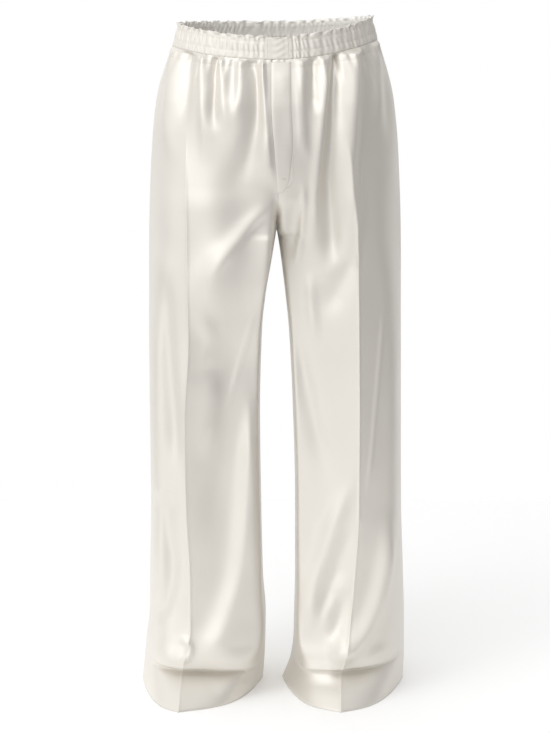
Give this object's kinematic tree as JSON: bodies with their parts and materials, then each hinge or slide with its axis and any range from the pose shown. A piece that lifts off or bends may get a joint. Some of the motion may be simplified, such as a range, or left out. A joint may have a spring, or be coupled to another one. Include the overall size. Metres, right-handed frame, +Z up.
{
  "type": "trousers",
  "caption": "Wide-leg satin trousers, filled out as worn: gathered elastic waist, flat fly placket, pressed creases and hems that break over the shoes.",
  "frame": {"origin": "centre of the waist opening at the waistband's mid-height, where a wearer's waist holds the trousers", "axes": "+Z up along the body, -Y the way the wearer faces, +X towards the wearer's left leg"},
  "size_m": [0.4169, 0.3394, 1.0458],
  "materials": {
    "front_panel_right": "ivory satin, soft broad sheen",
    "front_panel_left": "ivory satin, soft broad sheen",
    "back_panel_right": "ivory satin, soft broad sheen",
    "back_panel_left": "ivory satin, soft broad sheen",
    "waistband": "ivory satin, soft broad sheen",
    "waist_tab": "ivory satin, soft broad sheen",
    "fly_placket": "ivory satin, soft broad sheen"
  },
  "bodies": {
    "root": {"front_panel_right": "front_panel_right", "front_panel_left": "front_panel_left", "back_panel_right": "back_panel_right", "back_panel_left": "back_panel_left", "waistband": "waistband", "waist_tab": "waist_tab", "fly_placket": "fly_placket"}
  },
  "joints": []
}
